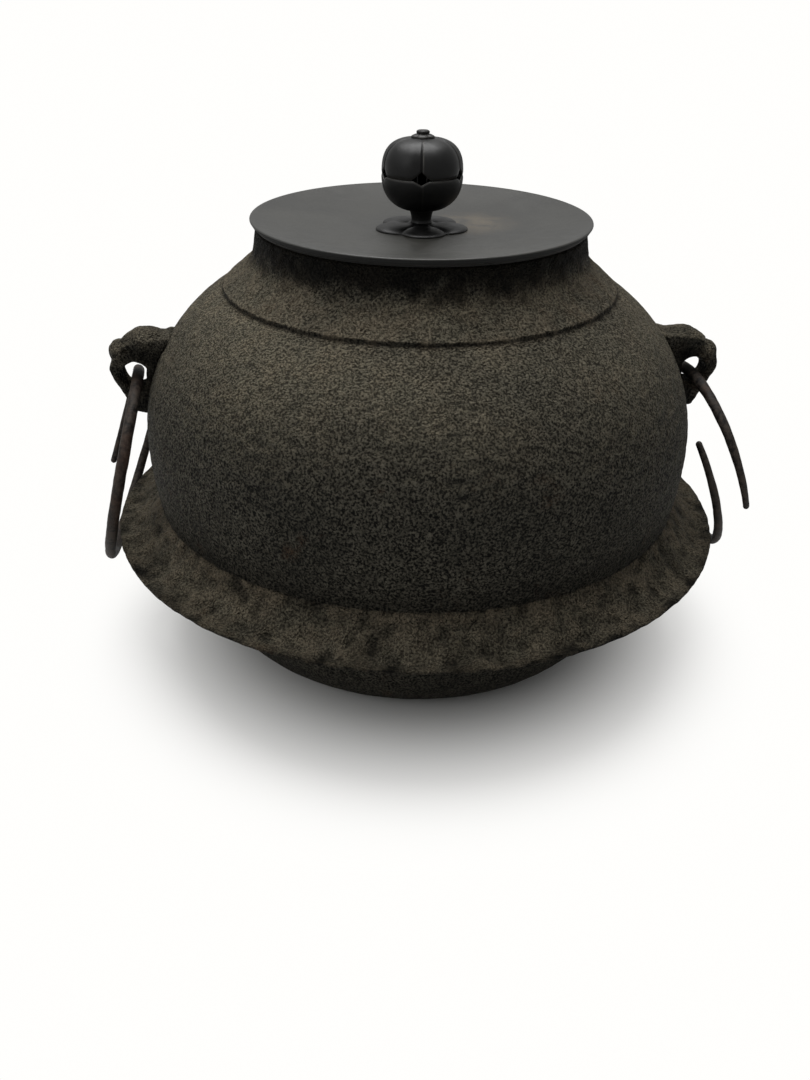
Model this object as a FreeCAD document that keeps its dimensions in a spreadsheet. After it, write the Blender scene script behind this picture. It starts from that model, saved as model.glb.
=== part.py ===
"""A tea-ceremony kettle: an iron casting with a skirt, two ringed lugs, and a lid with a plum-bud knob."""

import FreeCAD
import Part
import Sketcher
import math
import os
import re

# Driving sizes in millimetres and degrees: the kettle's axis is Z and it stands on height 0
SIZES = {
    # Casting
    "drum_radius": 118.6,
    "belly_height": 100.0,
    "belly_arc": 71.5,
    "wall": 3.6,
    "base_radius": 66.0,
    "foot_ring": 9.0,
    "foot_recess": 1.2,
    "bowl_arc": 36.0,
    "bowl_inset": 2.9,
    "bowl_taper": 14.0,
    "bowl_corner_height": 22.0,
    "skirt_height": 57.0,
    "skirt_width": 16.4,
    "skirt_lip": 2.2,
    "skirt_seat": 9.0,
    "skirt_hollow": 6.0,
    "skirt_band": 7.0,
    "band_rise": 0.9,
    "flare_height": 15.0,
    "flare_arc": 17.0,
    # Neck and mouth
    "neck_radius": 68.2,
    "neck_height": 24.0,
    "neck_lean": 1.4,
    "shoulder_ledge": 14.3,
    "shoulder_step": 1.3,
    "slope_rise": 8.6,
    "slope_foot": 4.2,
    "neck_arc": 9.0,
    "mouth_wall": 4.5,
    # Lugs
    "lug_hole_height": 123.8,
    "lug_hole_offset": 0.7,
    "lug_hole_radius": 5.9,
    "lug_thickness": 13.0,
    "lug_top": 16.6,
    "lug_drop": 16.5,
    "lug_edge": 1.6,
    "lug_hole_edge": 0.7,
    "brow_depth": 17.0,
    "brow_thickness": 4.6,
    "nose_reach": 10.9,
    "nose_arc": 6.2,
    "nose_rise": 2.4,
    "temple_slope": 32.0,
    "chin_slope": 28.0,
    # Rings
    "ring_radius": 41.5,
    "ring_pitch": 13.0,
    "ring_twist_right": 3.8,
    "ring_twist_left": 2.3,
    "rod_radius": 2.65,
    "tip_radius": 1.45,
    "taper_start": 95.0,
    "upper_arm_end_right": 195.0,
    "upper_arm_end_left": 207.0,
    "lower_arm_end": 214.0,
    "ring_play": 1.0,
    "ring_rest_gap": 0.3,
    # Lid
    "lid_overhang": 1.5,
    "lid_edge": 3.4,
    "lid_round": 1.1,
    "lid_dish": 5.0,
    "lid_flat": 21.0,
    "lid_gauge": 2.8,
    "lid_rim_depth": 6.0,
    "lid_rim_wall": 2.4,
    "mouth_play": 0.5,
    # Knob
    "seat_lobe_radius": 9.5,
    "seat_lobe_centre": 9.8,
    "seat_rise": 2.2,
    "seat_edge": 0.7,
    "seat_hub": 6.0,
    "stem_height": 5.0,
    "stem_foot_radius": 3.8,
    "collar_radius": 4.6,
    "tenon_radius": 2.6,
    "pin_radius": 2.0,
    "rivet_radius": 4.2,
    "rivet_height": 1.5,
    "back_washer_radius": 9.0,
    "back_washer_gauge": 1.2,
    "bore_play": 0.1,
    "bud_radius": 16.5,
    "cup_height": 14.0,
    "shell_height": 13.8,
    "bud_gauge": 1.6,
    "notch_width": 6.4,
    "notch_depth": 1.6,
    "petal_gap_width": 8.6,
    "petal_gap_height": 3.4,
    "petal_corner_arc": 6.0,
    "petal_groove": 0.7,
    "petals": 5,
    "button_radius": 4.4,
    "button_height": 1.4,
    "button_scallop": 0.8,
    "button_top_radius": 2.2,
    "button_top_height": 1.5,
    # Sounding plates
    "plates": 3,
    "plate_length": 24.0,
    "plate_width": 15.0,
    "plate_gauge": 2.0,
    "plate_ring": 30.0,
}

def drum_radius_at(height, inset="0"):
    """Radius of the drum's round side at a height, or of a surface that much inside it."""
    return f"(drum_radius - belly_arc + sqrt((belly_arc - {inset})^2 - ({height} - belly_height)^2))"


# Expressions worked out from the driving sizes
SKIRT_RADIUS = "(drum_radius + skirt_width)"
FLARE_TOP = "(skirt_height + flare_height)"
BOWL_TOP_RADIUS = f"({drum_radius_at(FLARE_TOP)} - bowl_inset)"
BOWL_CORNER_RADIUS = f"({BOWL_TOP_RADIUS} - bowl_taper)"
FLOOR = "(foot_recess + wall)"
SHOULDER_RADIUS = "(neck_radius + shoulder_ledge)"
SHOULDER_HEIGHT = f"(belly_height + sqrt(belly_arc^2 - ({SHOULDER_RADIUS} - drum_radius + belly_arc)^2))"
MOUTH_HEIGHT = f"({SHOULDER_HEIGHT} + neck_height)"
MOUTH_RADIUS = "(neck_radius - mouth_wall)"
LUG_HOLE_REACH = drum_radius_at("lug_hole_height", "(-lug_hole_radius - lug_hole_offset)")
LID_RADIUS = "(neck_radius + lid_overhang)"
LID_TOP = f"({MOUTH_HEIGHT} + lid_edge)"
LID_CENTRE = f"({LID_TOP} - lid_dish)"
LID_UNDER = f"({LID_CENTRE} - lid_gauge)"
WASHER_UNDER = f"({LID_UNDER} - back_washer_gauge)"
SEAT_TOP = f"({LID_CENTRE} + seat_rise)"
BUD_FOOT = f"({SEAT_TOP} + stem_height)"
BUD_SEAM = f"({BUD_FOOT} + cup_height)"
BUD_TOP = f"({BUD_SEAM} + shell_height)"
FULL_TURN = 360.0
FRONT_TURN = -90.0
HOLE_TURN = 90.0


def expression(text):
    """Turns bare size names into references to the sheet."""
    def reference(word):
        name = word.group()
        return f"sizes.{name}" if name in SIZES else name
    return re.sub(r"[a-z_]+", reference, str(text))


def arc_through(run, rise):
    """Radius of an arc that starts square to its rise and covers that run and rise."""
    return f"(({run})^2 + ({rise})^2) / (2 * ({run}))"


class Kettle:
    """The parametric document: a sheet of sizes and one object for each piece."""

    def __init__(self):
        self.document = FreeCAD.newDocument("kettle")
        self.sheet = self.document.addObject("Spreadsheet::Sheet", "sizes")
        for row, (name, number) in enumerate(SIZES.items(), start=1):
            self.sheet.set(f"A{row}", name)
            self.sheet.set(f"B{row}", str(number))
            self.sheet.setAlias(f"B{row}", name)
        self.document.recompute()
        self.pieces = []

    def value(self, text):
        """Number that an expression of the sizes has now."""
        return float(self.sheet.evalExpression(expression(text)))

    def bind(self, owner, prop, text):
        """Ties a property to an expression of the sizes."""
        owner.setExpression(prop, expression(text))

    def body(self, label):
        """Starts a piece as a PartDesign body."""
        piece = self.document.addObject("PartDesign::Body", label)
        piece.Label = label
        self.pieces.append(piece)
        return piece

    def origin(self, body, role):
        """Plane or axis of a body's own origin."""
        return next(item for item in body.Origin.OriginFeatures if item.Role == role)

    def sketch(self, body, name, plane, across="0", out="0"):
        """Sketch on one of the body's origin planes, moved across or out of it by an expression."""
        made = body.newObject("Sketcher::SketchObject", name)
        made.AttachmentSupport = [(self.origin(body, plane), "")]
        made.MapMode = "FlatFace"
        self.bind(made, "AttachmentOffset.Base.x", across)
        self.bind(made, "AttachmentOffset.Base.z", out)
        return made

    def hold(self, sketch, kind, geometry, point, text):
        """Holds one coordinate of a sketch point to an expression."""
        if text == "0":
            axis = -2 if kind == "DistanceX" else -1
            sketch.addConstraint(Sketcher.Constraint("PointOnObject", geometry, point, axis))
            return
        index = sketch.addConstraint(
            Sketcher.Constraint(kind, -1, 1, geometry, point, self.value(text)))
        self.bind(sketch, f"Constraints[{index}]", text)

    def outline(self, sketch, corners):
        """Closed outline: each corner is (x, y), or (x, y, arc, side) where an arc leaves it.

        The side is 1 for an arc that turns left along the way and -1 for one that turns right.
        """
        spots = [FreeCAD.Vector(self.value(corner[0]), self.value(corner[1]), 0) for corner in corners]
        ends = []
        for index, corner in enumerate(corners):
            start = spots[index]
            end = spots[(index + 1) % len(corners)]
            if len(corner) == 2:
                geometry = sketch.addGeometry(Part.LineSegment(start, end), False)
                ends.append((geometry, 1, 2))
                continue
            radius = self.value(corner[2])
            side = corner[3]
            chord = end - start
            rise = math.sqrt(radius ** 2 - (chord.Length / 2) ** 2)
            left = FreeCAD.Vector(-chord.y, chord.x, 0).normalize()
            centre = (start + end) * 0.5 + left * (rise * side)
            first, last = (start, end) if side > 0 else (end, start)
            angles = [math.atan2(spot.y - centre.y, spot.x - centre.x) for spot in (first, last)]
            circle = Part.Circle(centre, FreeCAD.Vector(0, 0, 1), radius)
            geometry = sketch.addGeometry(Part.ArcOfCircle(circle, angles[0], angles[1]), False)
            ends.append((geometry, 1, 2) if side > 0 else (geometry, 2, 1))
            held = sketch.addConstraint(Sketcher.Constraint("Radius", geometry, radius))
            self.bind(sketch, f"Constraints[{held}]", corner[2])
        for index, corner in enumerate(corners):
            geometry, start, _ = ends[index]
            before, _, end = ends[index - 1]
            sketch.addConstraint(Sketcher.Constraint("Coincident", before, end, geometry, start))
            self.hold(sketch, "DistanceX", geometry, start, corner[0])
            self.hold(sketch, "DistanceY", geometry, start, corner[1])

    def circle(self, sketch, across, along, radius):
        """Circle whose centre and radius are held to expressions."""
        centre = FreeCAD.Vector(self.value(across), self.value(along), 0)
        round_line = Part.Circle(centre, FreeCAD.Vector(0, 0, 1), self.value(radius))
        geometry = sketch.addGeometry(round_line, False)
        self.hold(sketch, "DistanceX", geometry, 3, across)
        self.hold(sketch, "DistanceY", geometry, 3, along)
        held = sketch.addConstraint(Sketcher.Constraint("Radius", geometry, self.value(radius)))
        self.bind(sketch, f"Constraints[{held}]", radius)

    def revolve(self, body, sketch, kind="PartDesign::Revolution", angle=FULL_TURN):
        """Turns a sketch about its own upright axis, adding or cutting."""
        turned = body.newObject(kind, f"{sketch.Name}_turn")
        turned.Profile = sketch
        turned.ReferenceAxis = (sketch, ["V_Axis"])
        turned.Angle = angle
        body.Tip = turned
        self.document.recompute()
        return turned

    def pad(self, body, sketch, length):
        """Pads a sketch to both sides of its plane."""
        made = body.newObject("PartDesign::Pad", f"{sketch.Name}_pad")
        made.Profile = sketch
        made.SideType = "Symmetric"
        self.bind(made, "Length", length)
        body.Tip = made
        self.document.recompute()
        return made

    def pocket(self, body, sketch, length, both_sides=False):
        """Cuts a sketch out of the body on the side that holds material."""
        made = body.newObject("PartDesign::Pocket", f"{sketch.Name}_cut")
        made.Profile = sketch
        made.SideType = "Symmetric" if both_sides else "One side"
        self.bind(made, "Length", length)
        body.Tip = made
        self.document.recompute()
        return made

    def pattern(self, body, original, count):
        """Repeats a feature evenly about the kettle's axis."""
        made = body.newObject("PartDesign::PolarPattern", f"{original.Name}_ring")
        made.Originals = [original]
        made.Axis = (self.origin(body, "Z_Axis"), [""])
        made.Angle = FULL_TURN
        self.bind(made, "Occurrences", count)
        body.Tip = made
        self.document.recompute()
        return made

    def turned_piece(self, label, corners):
        """Piece made by turning one closed outline about the kettle's axis."""
        piece = self.body(label)
        profile = self.sketch(piece, f"{label}_profile", "XZ_Plane")
        self.outline(profile, corners)
        self.revolve(piece, profile)
        return piece

    # Casting

    def kettle_body(self):
        """Hollow casting, from the foot up the outside and back down the inside."""
        inner_shoulder = f"({SHOULDER_RADIUS} - wall)"
        inner_shoulder_height = (f"(belly_height + sqrt((belly_arc - wall)^2"
                                 f" - ({inner_shoulder} - drum_radius + belly_arc)^2))")
        inner_join = f"({FLARE_TOP} + wall)"
        slope_top = f"{SHOULDER_HEIGHT} + shoulder_step + slope_rise"
        self.turned_piece("kettle_body", [
            ("0", "foot_recess"),
            ("base_radius - foot_ring", "foot_recess"),
            ("base_radius - foot_ring + foot_recess", "0"),
            ("base_radius", "0", "bowl_arc", 1),
            (BOWL_CORNER_RADIUS, "bowl_corner_height"),
            (BOWL_TOP_RADIUS, "skirt_height + skirt_hollow"),
            (f"{SKIRT_RADIUS} - skirt_seat", "skirt_height"),
            (SKIRT_RADIUS, "skirt_height"),
            (SKIRT_RADIUS, "skirt_height + skirt_lip"),
            (f"{SKIRT_RADIUS} - skirt_band", "skirt_height + skirt_lip + band_rise", "flare_arc", -1),
            (drum_radius_at(FLARE_TOP), FLARE_TOP, "belly_arc", 1),
            (SHOULDER_RADIUS, SHOULDER_HEIGHT),
            (SHOULDER_RADIUS, f"{SHOULDER_HEIGHT} + shoulder_step"),
            ("neck_radius + slope_foot", slope_top, "neck_arc", -1),
            ("neck_radius + neck_lean", f"{slope_top} + slope_foot"),
            ("neck_radius", MOUTH_HEIGHT),
            (MOUTH_RADIUS, MOUTH_HEIGHT),
            (MOUTH_RADIUS, f"{slope_top} - wall"),
            (inner_shoulder, inner_shoulder_height, "belly_arc - wall", -1),
            (drum_radius_at(inner_join, "wall"), inner_join),
            (f"{BOWL_TOP_RADIUS} - wall", "skirt_height + skirt_hollow"),
            (f"{BOWL_CORNER_RADIUS} - wall", "bowl_corner_height + foot_recess", "bowl_arc - wall", -1),
            ("base_radius", FLOOR),
            ("0", FLOOR),
        ])

    # Lugs

    def lug(self, label, half_turn):
        """Ring lug on the +X side: a hooded nose with a round-rimmed hole, cut to sit on the drum."""
        piece = self.body(label)
        inside = f"({LUG_HOLE_REACH} - lug_hole_radius - lug_hole_offset - lug_top)"
        brow_under = "(lug_hole_height + lug_top - brow_thickness)"
        brow_middle = f"({brow_under} + brow_thickness / 2)"
        nose_x = f"({LUG_HOLE_REACH} + nose_reach - nose_arc)"
        nose_z = "(lug_hole_height + nose_rise)"
        chin_x = f"({nose_x} + nose_arc * cos(chin_slope))"
        chin_z = f"({nose_z} - nose_arc * sin(chin_slope))"
        temple_x = f"({nose_x} + nose_arc * sin(temple_slope))"
        temple_z = f"({nose_z} + nose_arc * cos(temple_slope))"
        root_z = "(lug_hole_height - lug_drop)"
        side = self.sketch(piece, f"{label}_side", "XZ_Plane")
        self.outline(side, [
            (inside, root_z),
            (f"{chin_x} - ({chin_z} - {root_z}) * tan(chin_slope)", root_z),
            (chin_x, chin_z, "nose_arc", 1),
            (temple_x, temple_z),
            (f"{temple_x} - ({brow_middle} - {temple_z}) / tan(temple_slope)", brow_middle),
            (inside, brow_middle),
        ])
        self.pad(piece, side, "lug_thickness")
        below = self.value(root_z)
        above = self.value(brow_middle)
        self.round_edges(piece, "lug_edge", lambda edge: (
            self.on_lug_side(edge) and edge.BoundBox.XLength > 1e-4
            and edge.BoundBox.ZMax - below > 1e-4 and above - edge.BoundBox.ZMin > 1e-4))
        brow = self.sketch(piece, f"{label}_brow", "XZ_Plane")
        self.outline(brow, [
            (inside, brow_under),
            (f"{nose_x} - brow_thickness / 2", brow_under),
            (nose_x, f"{brow_under} + brow_thickness / 4", "lug_top", 1),
            (f"{LUG_HOLE_REACH} - lug_hole_radius", "lug_hole_height + lug_top"),
            (inside, "lug_hole_height + lug_top"),
        ])
        self.pad(piece, brow, "brow_depth")
        hole = self.sketch(piece, f"{label}_hole", "XY_Plane", across=LUG_HOLE_REACH, out="lug_hole_height")
        rim = "(lug_hole_radius + lug_hole_edge)"
        waist = "(lug_thickness / 2 - lug_hole_edge)"
        self.outline(hole, [
            ("0", "-brow_depth"),
            (rim, "-brow_depth"),
            (rim, "-lug_thickness / 2", "lug_hole_edge", -1),
            ("lug_hole_radius", f"-{waist}"),
            ("lug_hole_radius", waist, "lug_hole_edge", -1),
            (rim, "lug_thickness / 2"),
            (rim, "brow_depth"),
            ("0", "brow_depth"),
        ])
        self.revolve(piece, hole, "PartDesign::Groove")
        drum = self.sketch(piece, f"{label}_drum", "XZ_Plane")
        low = "(lug_hole_height - 2 * lug_drop)"
        high = "(lug_hole_height + 2 * lug_top)"
        self.outline(drum, [
            ("0", low),
            (drum_radius_at(low), low, "belly_arc", 1),
            (drum_radius_at(high), high),
            ("0", high),
        ])
        self.revolve(piece, drum, "PartDesign::Groove")
        piece.Placement = FreeCAD.Placement(
            FreeCAD.Vector(0, 0, 0), FreeCAD.Rotation(FreeCAD.Vector(0, 0, 1), half_turn))

    def on_lug_side(self, edge):
        """Whether an edge lies in one of the lug's two flat sides."""
        side = self.value("lug_thickness") / 2
        return edge.BoundBox.YLength < 1e-4 and abs(abs(edge.Vertexes[0].Y) - side) < 1e-4

    def round_edges(self, piece, radius, chosen):
        """Rounds the edges of the body's newest feature that a test chooses."""
        base = piece.Tip
        edges = [f"Edge{number}" for number, edge in enumerate(base.Shape.Edges, start=1) if chosen(edge)]
        made = piece.newObject("PartDesign::Fillet", f"{piece.Name}_round")
        made.Base = (base, edges)
        self.bind(made, "Radius", radius)
        piece.Tip = made
        self.document.recompute()

    # Rings

    def ring_point(self, side, turn, tilt):
        """Centre of a ring's rod on the +X side: turn 0 is the closed side, turn 90 is in the lug's hole."""
        lean = math.radians(tilt)
        twist = math.radians(self.value(f"ring_twist_{side}"))
        outward = FreeCAD.Vector(
            math.cos(lean) * math.cos(twist), math.cos(lean) * math.sin(twist), math.sin(lean))
        upward = FreeCAD.Vector(
            -math.sin(lean) * math.cos(twist), -math.sin(lean) * math.sin(twist), math.cos(lean))
        sideways = FreeCAD.Vector(math.sin(twist), -math.cos(twist), 0)
        drop = self.value("lug_hole_radius - rod_radius - ring_play")
        pivot = FreeCAD.Vector(self.value(LUG_HOLE_REACH), 0, self.value("lug_hole_height") - drop)
        angle = math.radians(turn)
        radius = self.value("ring_radius")
        offset = self.value("ring_pitch") * (turn - HOLE_TURN) / FULL_TURN
        return (pivot + upward * (radius * (math.sin(angle) - 1.0))
                - sideways * (radius * math.cos(angle)) + outward * offset)

    def rod_radius_at(self, side, turn):
        """Radius of the tapered rod at a turn, full on the closed side and thin at both tips."""
        start = self.value("taper_start")
        end = self.value(f"upper_arm_end_{side}" if turn > 0 else "lower_arm_end")
        share = max(0.0, (abs(turn) - start) / (end - start))
        return self.value("rod_radius") + share * (self.value("tip_radius") - self.value("rod_radius"))

    def ring_clearance(self, side, tilt):
        """Least distance between a ring's rod and the skirt's lip."""
        lip_radius = self.value(SKIRT_RADIUS)
        lip_low = self.value("skirt_height")
        lip_high = lip_low + self.value("skirt_lip + band_rise")
        gaps = []
        last = int(self.value(f"upper_arm_end_{side}"))
        for turn in range(-int(self.value("lower_arm_end")), last, 2):
            spot = self.ring_point(side, turn, tilt)
            beside = math.hypot(spot.x, spot.y) - lip_radius
            above = max(spot.z - lip_high, lip_low - spot.z, 0.0)
            distance = math.hypot(beside, above) if beside > 0 else max(above, beside)
            gaps.append(distance - self.rod_radius_at(side, turn))
        return min(gaps)

    def resting_tilt(self, side):
        """Tilt at which the hanging ring comes to rest against the skirt's lip."""
        low, high = 0.0, 60.0
        for _ in range(24):
            middle = (low + high) / 2
            if self.ring_clearance(side, middle) < self.value("ring_rest_gap"):
                low = middle
            else:
                high = middle
        return high

    def ring(self, side, half_turn):
        """Open ring of tapered rod, lofted through round sections along one turn of a flat helix."""
        tilt = self.resting_tilt(side)
        upper = self.value(f"upper_arm_end_{side}")
        lower = -self.value("lower_arm_end")
        tip = self.value("tip_radius")
        tip_turn = math.degrees(tip / self.value("ring_radius"))
        steps = 48
        stations = [(lower + (upper - lower) * step / steps) for step in range(steps + 1)]
        sections = [(turn, self.rod_radius_at(side, turn)) for turn in stations]
        for share in (0.6, 0.9):
            round_radius = tip * math.sqrt(1 - share ** 2)
            sections.insert(0, (lower - tip_turn * share, round_radius))
            sections.append((upper + tip_turn * share, round_radius))
        wires = []
        for turn, radius in sections:
            spot = self.ring_point(side, turn, tilt)
            along = self.ring_point(side, turn + 0.1, tilt) - self.ring_point(side, turn - 0.1, tilt)
            across = spot - self.ring_point(side, turn + FULL_TURN / 2, tilt)
            frame = FreeCAD.Rotation(across, FreeCAD.Vector(), along, "ZXY")
            wire = Part.Wire(Part.makeCircle(radius))
            wire.Placement = FreeCAD.Placement(spot, frame)
            wires.append(wire)
        piece = self.document.addObject("Part::Feature", f"ring_{side}")
        piece.Label = f"ring_{side}"
        piece.Shape = Part.makeLoft(wires, True, True)
        piece.Placement = FreeCAD.Placement(
            FreeCAD.Vector(0, 0, 0), FreeCAD.Rotation(FreeCAD.Vector(0, 0, 1), half_turn))
        self.pieces.append(piece)

    # Lid

    def lid_plate(self):
        """Dished lid that rests on the mouth, with a locating rim that drops inside it."""
        rim_outside = f"{MOUTH_RADIUS} - mouth_play"
        rim_inside = f"{rim_outside} - lid_rim_wall"
        dish_run = f"{LID_RADIUS} - lid_round - lid_flat"
        self.turned_piece("lid_plate", [
            ("tenon_radius + bore_play", LID_UNDER),
            ("lid_flat", LID_UNDER, arc_through("lid_dish", dish_run), 1),
            (rim_inside, f"{LID_UNDER} + lid_dish * ((({rim_inside}) - lid_flat) / ({dish_run}))^2"),
            (rim_inside, f"{MOUTH_HEIGHT} - lid_rim_depth"),
            (rim_outside, f"{MOUTH_HEIGHT} - lid_rim_depth"),
            (rim_outside, MOUTH_HEIGHT),
            (f"{LID_RADIUS} - lid_round", MOUTH_HEIGHT, "lid_round", 1),
            (LID_RADIUS, f"{MOUTH_HEIGHT} + lid_round"),
            (LID_RADIUS, f"{LID_TOP} - lid_round", "lid_round", 1),
            (f"{LID_RADIUS} - lid_round", LID_TOP, arc_through("lid_dish", dish_run), -1),
            ("lid_flat", LID_CENTRE),
            ("tenon_radius + bore_play", LID_CENTRE),
        ])

    # Knob

    def knob_seat(self):
        """Washer of five domed lobes, one of them toward the front."""
        piece = self.body("knob_seat")
        lobe = self.sketch(piece, "lobe", "XZ_Plane", across="seat_lobe_centre")
        self.outline(lobe, [
            ("0", LID_CENTRE),
            ("seat_lobe_radius", LID_CENTRE),
            ("seat_lobe_radius", f"{LID_CENTRE} + seat_edge",
             arc_through("seat_rise - seat_edge", "seat_lobe_radius"), 1),
            ("0", SEAT_TOP),
        ])
        self.pattern(piece, self.revolve(piece, lobe), "petals")
        hub = self.sketch(piece, "hub", "XZ_Plane")
        self.outline(hub, [
            ("0", LID_CENTRE),
            ("seat_hub", LID_CENTRE),
            ("seat_hub", SEAT_TOP),
            ("0", SEAT_TOP),
        ])
        self.revolve(piece, hub)
        bore = self.sketch(piece, "seat_bore", "XY_Plane", out=LID_CENTRE)
        self.circle(bore, "0", "0", "tenon_radius + bore_play")
        self.pocket(piece, bore, "4 * seat_rise", both_sides=True)
        self.face_front(piece)

    def face_front(self, piece):
        """Turns a five-fold piece so that its first lobe or petal gap is at the front."""
        piece.Placement = FreeCAD.Placement(
            FreeCAD.Vector(0, 0, 0), FreeCAD.Rotation(FreeCAD.Vector(0, 0, 1), FRONT_TURN))

    def knob_stem(self):
        """Rivet head, tenon through the lid, flared collar, and the pin that carries the bud."""
        self.turned_piece("knob_stem", [
            ("0", f"{WASHER_UNDER} - rivet_height"),
            ("tenon_radius", f"{WASHER_UNDER} - rivet_height"),
            ("rivet_radius", f"{WASHER_UNDER} - rivet_height / 3"),
            ("rivet_radius", WASHER_UNDER),
            ("tenon_radius", WASHER_UNDER),
            ("tenon_radius", SEAT_TOP),
            ("stem_foot_radius", SEAT_TOP),
            ("collar_radius", BUD_FOOT),
            ("pin_radius", BUD_FOOT),
            ("pin_radius", f"{BUD_TOP} + button_height"),
            ("0", f"{BUD_TOP} + button_height"),
        ])

    def knob_back_washer(self):
        """Washer under the lid that the tenon is riveted over."""
        self.turned_piece("knob_back_washer", [
            ("tenon_radius + bore_play", WASHER_UNDER),
            ("back_washer_radius", WASHER_UNDER),
            ("back_washer_radius", LID_UNDER),
            ("tenon_radius + bore_play", LID_UNDER),
        ])

    def knob_lower_cup(self):
        """Lower half of the hollow bud, with a notch in its rim below each petal gap."""
        run = "bud_radius - collar_radius"
        piece = self.turned_piece("knob_lower_cup", [
            ("pin_radius + bore_play", BUD_FOOT),
            ("collar_radius", BUD_FOOT, arc_through(run, "cup_height"), 1),
            ("bud_radius", BUD_SEAM),
            ("bud_radius - bud_gauge", BUD_SEAM,
             arc_through(f"{run} - bud_gauge", "cup_height - bud_gauge"), -1),
            ("collar_radius", f"{BUD_FOOT} + bud_gauge"),
            ("pin_radius + bore_play", f"{BUD_FOOT} + bud_gauge"),
        ])
        notch = self.sketch(piece, "notch", "YZ_Plane", out="bud_radius")
        self.outline(notch, [
            ("-notch_width / 2", f"{BUD_SEAM} + bud_gauge"),
            ("-notch_width / 2", BUD_SEAM),
            ("0", f"{BUD_SEAM} - notch_depth"),
            ("notch_width / 2", BUD_SEAM),
            ("notch_width / 2", f"{BUD_SEAM} + bud_gauge"),
        ])
        self.pattern(piece, self.pocket(piece, notch, "bud_radius / 2"), "petals")
        self.face_front(piece)

    def knob_upper_shell(self):
        """Upper half of the bud: five petals parted by grooves that open into gaps at the seam."""
        run = "bud_radius - button_radius"
        arc = arc_through(run, "shell_height")
        piece = self.turned_piece("knob_upper_shell", [
            ("bud_radius - bud_gauge", BUD_SEAM),
            ("bud_radius", BUD_SEAM, arc, 1),
            ("button_radius", BUD_TOP),
            ("pin_radius + bore_play", BUD_TOP),
            ("pin_radius + bore_play", f"{BUD_TOP} - bud_gauge"),
            ("button_radius", f"{BUD_TOP} - bud_gauge",
             arc_through(f"{run} - bud_gauge", "shell_height - bud_gauge"), -1),
        ])
        gap = self.sketch(piece, "petal_gap", "YZ_Plane", out="bud_radius")
        self.outline(gap, [
            ("-petal_gap_width / 2", f"{BUD_SEAM} - bud_gauge"),
            ("petal_gap_width / 2", f"{BUD_SEAM} - bud_gauge"),
            ("petal_gap_width / 2", BUD_SEAM, "petal_corner_arc", -1),
            ("0", f"{BUD_SEAM} + petal_gap_height", "petal_corner_arc", -1),
            ("-petal_gap_width / 2", BUD_SEAM),
        ])
        self.pattern(piece, self.pocket(piece, gap, "bud_radius / 2"), "petals")
        groove = self.sketch(
            piece, "petal_groove_section", "XY_Plane", across=f"bud_radius - {arc}", out=BUD_SEAM)
        self.circle(groove, arc, "0", "petal_groove")
        cut = self.revolve(piece, groove, "PartDesign::Groove", angle=70.0)
        self.pattern(piece, cut, "petals")
        self.face_front(piece)

    def knob_finial(self):
        """Two-tier flower button on the pin's end, its lower tier scalloped into five."""
        top = f"{BUD_TOP} + button_height"
        piece = self.turned_piece("knob_finial", [
            ("pin_radius + bore_play", BUD_TOP),
            ("button_radius", BUD_TOP),
            ("button_radius", f"{BUD_TOP} + button_height / 2"),
            ("button_top_radius", top),
            ("button_top_radius", f"{top} + button_top_height"),
            ("0", f"{top} + button_top_height"),
            ("0", top),
            ("pin_radius + bore_play", top),
        ])
        scallop = self.sketch(piece, "scallop", "XY_Plane", out=BUD_TOP)
        self.circle(scallop, "button_radius + button_scallop / 4", "0", "button_scallop")
        self.pattern(piece, self.pocket(piece, scallop, "2 * button_height", both_sides=True), "petals")
        self.face_front(piece)

    # Sounding plates

    def sounding_plates(self):
        """Small iron plates spread on the inner floor."""
        plates = []
        count = int(self.value("plates"))
        for index in range(count):
            plate = self.document.addObject("Part::Box", f"plate_{index + 1}")
            self.bind(plate, "Length", "plate_length")
            self.bind(plate, "Width", "plate_width")
            self.bind(plate, "Height", "plate_gauge")
            turn = FreeCAD.Rotation(FreeCAD.Vector(0, 0, 1), FULL_TURN * index / count)
            corner = FreeCAD.Vector(
                self.value("plate_ring - plate_length / 2"),
                -self.value("plate_width") / 2,
                self.value(FLOOR))
            plate.Placement = FreeCAD.Placement(turn.multVec(corner), turn)
            plates.append(plate)
        group = self.document.addObject("Part::Compound", "sounding_plates")
        group.Label = "sounding_plates"
        group.Links = plates
        self.pieces.append(group)

    def build(self):
        """Makes every piece, checks the document and writes one file for each piece."""
        self.kettle_body()
        for side, half_turn in (("right", 0.0), ("left", 180.0)):
            self.lug(f"lug_{side}", half_turn)
            self.ring(side, half_turn)
        self.lid_plate()
        self.knob_seat()
        self.knob_stem()
        self.knob_back_washer()
        self.knob_lower_cup()
        self.knob_upper_shell()
        self.knob_finial()
        self.sounding_plates()
        self.document.recompute()
        for item in self.document.Objects:
            if "Invalid" in item.State or "Error" in item.State:
                raise RuntimeError(f"{item.Label} did not build")
        os.makedirs("parts", exist_ok=True)
        for piece in self.pieces:
            if piece.Shape.isNull() or not piece.Shape.isValid():
                raise RuntimeError(f"{piece.Label} has no valid shape")
            piece.Shape.exportStep(f"parts/{piece.Label}.step")


Kettle().build()
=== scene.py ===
"""Looks of the tea-ceremony kettle: cast iron skin, forged rings, dished lid and plum-bud knob."""

import math

import bmesh
import bpy
import numpy as np
from mathutils import Matrix, Vector, noise


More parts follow.
